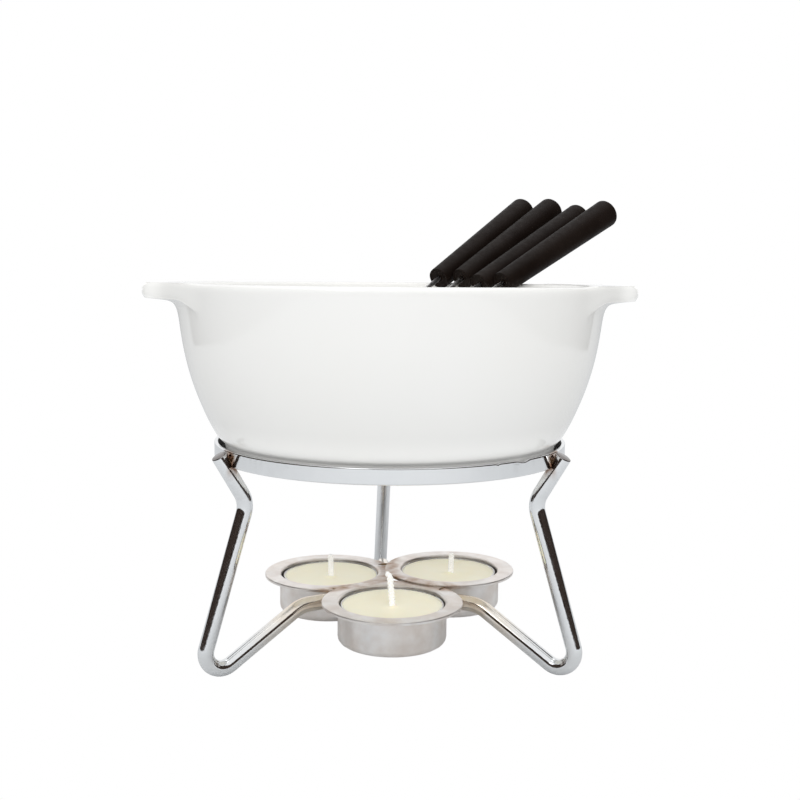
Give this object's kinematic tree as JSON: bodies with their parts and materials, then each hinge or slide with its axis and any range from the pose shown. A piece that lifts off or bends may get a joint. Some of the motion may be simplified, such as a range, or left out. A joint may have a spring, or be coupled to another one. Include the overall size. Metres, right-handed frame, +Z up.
{
  "type": "fondue pot set",
  "caption": "Round glazed fondue bowl with lug handles on a bent-rod stand with flanged tealight cups and long forks resting in the bowl.",
  "frame": {"origin": "middle of the whole set's footprint at the level of the surface it stands on; the stand's upright axis is 5.7 mm to -X and 18.2 mm to -Y of it, because the forks lean out over the far right of the rim", "axes": "+Z up; X runs through the two bowl handles; +Y points to the leg at the back"},
  "size_m": [0.1896, 0.1922, 0.1745],
  "materials": {
    "glazed_white": "glossy white glaze",
    "chromed_steel": "bright plated round rod and band",
    "pressed_steel": "satin pressed sheet with heat tint at the joints",
    "tealight_foil": "thin bright drawn foil",
    "wax": "cream paraffin wax, slightly translucent",
    "tinned_tab": "thin tinned sheet",
    "cotton_wick": "braided cotton, waxed",
    "black_grip": "matt black moulded grip with a soft sheen",
    "fork_steel": "polished wire"
  },
  "bodies": {
    "stand": {"support_ring": "chromed_steel", "leg_back": "chromed_steel", "leg_left": "chromed_steel", "leg_right": "chromed_steel", "cup_left": "pressed_steel", "cup_front": "pressed_steel", "cup_right": "pressed_steel"},
    "bowl": {"bowl": "glazed_white"},
    "tealight_left": {"tealight_shell_left": "tealight_foil", "tealight_wax_left": "wax", "wick_left": "cotton_wick", "wick_tab_left": "tinned_tab"},
    "tealight_front": {"tealight_shell_front": "tealight_foil", "tealight_wax_front": "wax", "wick_front": "cotton_wick", "wick_tab_front": "tinned_tab"},
    "tealight_right": {"tealight_shell_right": "tealight_foil", "tealight_wax_right": "wax", "wick_right": "cotton_wick", "wick_tab_right": "tinned_tab"},
    "fork_1": {"fork_handle_1": "black_grip", "fork_shaft_1": "fork_steel"},
    "fork_2": {"fork_handle_2": "black_grip", "fork_shaft_2": "fork_steel"},
    "fork_3": {"fork_handle_3": "black_grip", "fork_shaft_3": "fork_steel"},
    "fork_4": {"fork_handle_4": "black_grip", "fork_shaft_4": "fork_steel"}
  },
  "joints": [
    {"name": "bowl_lift", "type": "slide", "parent": "stand", "child": "bowl", "axis": [0, 0, 1], "range_m": [0, 0.12]},
    {"name": "tealight_left_lift", "type": "slide", "parent": "stand", "child": "tealight_left", "axis": [0, 0, 1], "range_m": [0, 0.02]},
    {"name": "tealight_front_lift", "type": "slide", "parent": "stand", "child": "tealight_front", "axis": [0, 0, 1], "range_m": [0, 0.02]},
    {"name": "tealight_right_lift", "type": "slide", "parent": "stand", "child": "tealight_right", "axis": [0, 0, 1], "range_m": [0, 0.02]},
    {"name": "fork_1_draw", "type": "slide", "parent": "bowl", "child": "fork_1", "axis": [0.6033, 0.6568, 0.4523], "range_m": [0, 0.15]},
    {"name": "fork_2_draw", "type": "slide", "parent": "bowl", "child": "fork_2", "axis": [0.6397, 0.6227, 0.4505], "range_m": [0, 0.15]},
    {"name": "fork_3_draw", "type": "slide", "parent": "bowl", "child": "fork_3", "axis": [0.6902, 0.5811, 0.4313], "range_m": [0, 0.15]},
    {"name": "fork_4_draw", "type": "slide", "parent": "bowl", "child": "fork_4", "axis": [0.7165, 0.5416, 0.4397], "range_m": [0, 0.15]}
  ]
}
